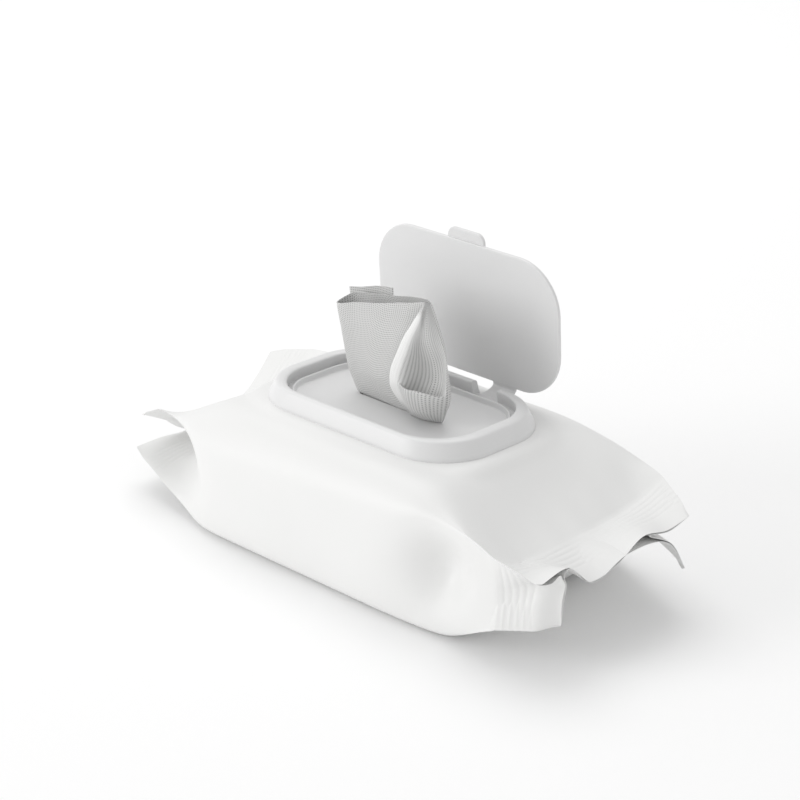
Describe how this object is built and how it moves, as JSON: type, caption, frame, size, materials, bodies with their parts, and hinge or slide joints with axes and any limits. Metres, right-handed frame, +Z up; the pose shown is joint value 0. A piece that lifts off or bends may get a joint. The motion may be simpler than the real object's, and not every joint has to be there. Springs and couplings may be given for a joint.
{
  "type": "wet wipes pack",
  "caption": "Soft flow-wrapped pack of wet wipes with crimped end seals, a glued-on dispenser frame, a hinged lid standing open and a wipe drawn up through the slot",
  "frame": {"origin": "centre of the pack's footprint, on the surface that the pack lies on", "axes": "+X along the pack from seal to seal, -Y the front where the lid's tab closes, +Y the hinge side, +Z up"},
  "size_m": [0.252, 0.1164, 0.1299],
  "materials": {
    "wrap_film": "white laminated wrap film, soft satin",
    "moulded_polypropylene": "white moulded polypropylene, fine satin",
    "wet_nonwoven": "embossed spunlace nonwoven, damp",
    "hot_melt_glue": "cured hot-melt adhesive"
  },
  "bodies": {
    "pack": {"film_pouch": "wrap_film", "wipe_stack": "wet_nonwoven", "dispensed_wipe": "wet_nonwoven", "adhesive_ring": "hot_melt_glue", "dispenser_frame": "moulded_polypropylene"},
    "lid_assembly": {"lid": "moulded_polypropylene", "hinge_strap_left": "moulded_polypropylene", "hinge_strap_right": "moulded_polypropylene"}
  },
  "joints": [
    {"name": "lid_hinge", "type": "hinge", "parent": "pack", "child": "lid_assembly", "pos_m": [0, 0.0343, 0.061], "axis": [1, 0, 0], "range_deg": [0, 86.5], "deforming": ["dispensed_wipe"]}
  ]
}
